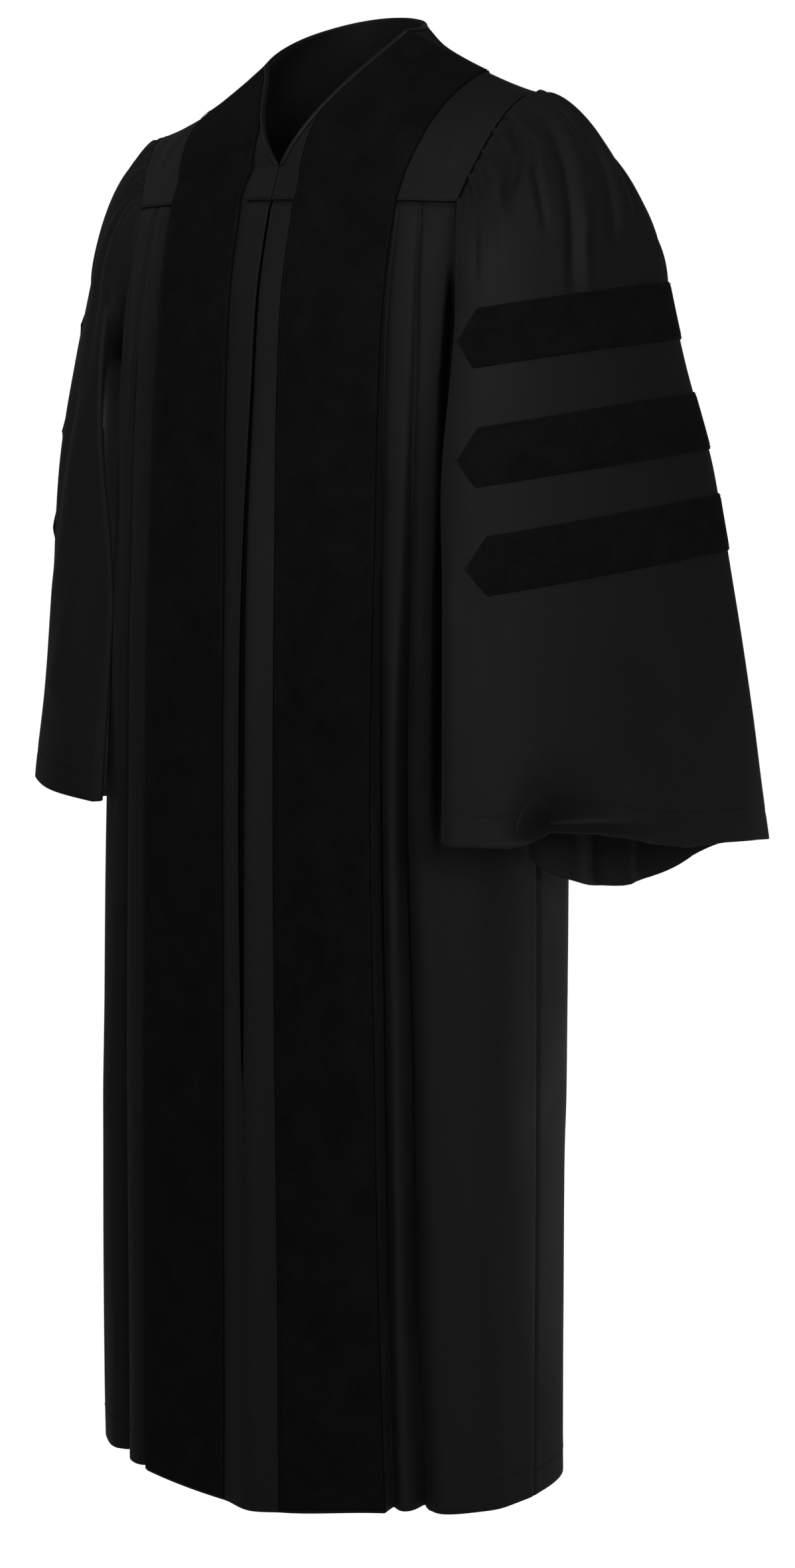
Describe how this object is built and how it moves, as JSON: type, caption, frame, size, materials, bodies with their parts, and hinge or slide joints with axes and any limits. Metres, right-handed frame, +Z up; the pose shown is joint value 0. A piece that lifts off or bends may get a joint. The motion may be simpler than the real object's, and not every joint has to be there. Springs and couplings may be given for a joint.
{
  "type": "doctoral graduation gown",
  "caption": "Hollow open-hemmed academic gown with yokes, pleated panels, gathered bell sleeves, velvet front bands and pointed velvet sleeve bars, closed by a concealed front zip.",
  "frame": {"origin": "midway between the two high shoulder points beside the neck, where the wearer's shoulders carry the gown", "axes": "+Z up the wearer, -Y out of the gown's front, +X towards the wearer's left"},
  "size_m": [0.7889, 0.3753, 1.4027],
  "materials": {
    "cloth": "matt black plain-weave cloth",
    "velvet": "deep black short-pile velvet",
    "zip_tape": "black woven zip tape",
    "binding": "black satin binding with a soft sheen"
  },
  "bodies": {
    "root": {"back": "cloth", "yoke_back": "cloth", "front_left": "cloth", "front_right": "cloth", "yoke_front_left": "cloth", "yoke_front_right": "cloth", "sleeve_left": "cloth", "sleeve_right": "cloth", "velvet_band_left": "velvet", "velvet_band_right": "velvet", "sleeve_bar_left_1": "velvet", "sleeve_bar_left_2": "velvet", "sleeve_bar_left_3": "velvet", "sleeve_bar_right_1": "velvet", "sleeve_bar_right_2": "velvet", "sleeve_bar_right_3": "velvet", "zip_tape_left": "zip_tape", "zip_tape_right": "zip_tape", "neck_binding": "binding"}
  },
  "joints": []
}
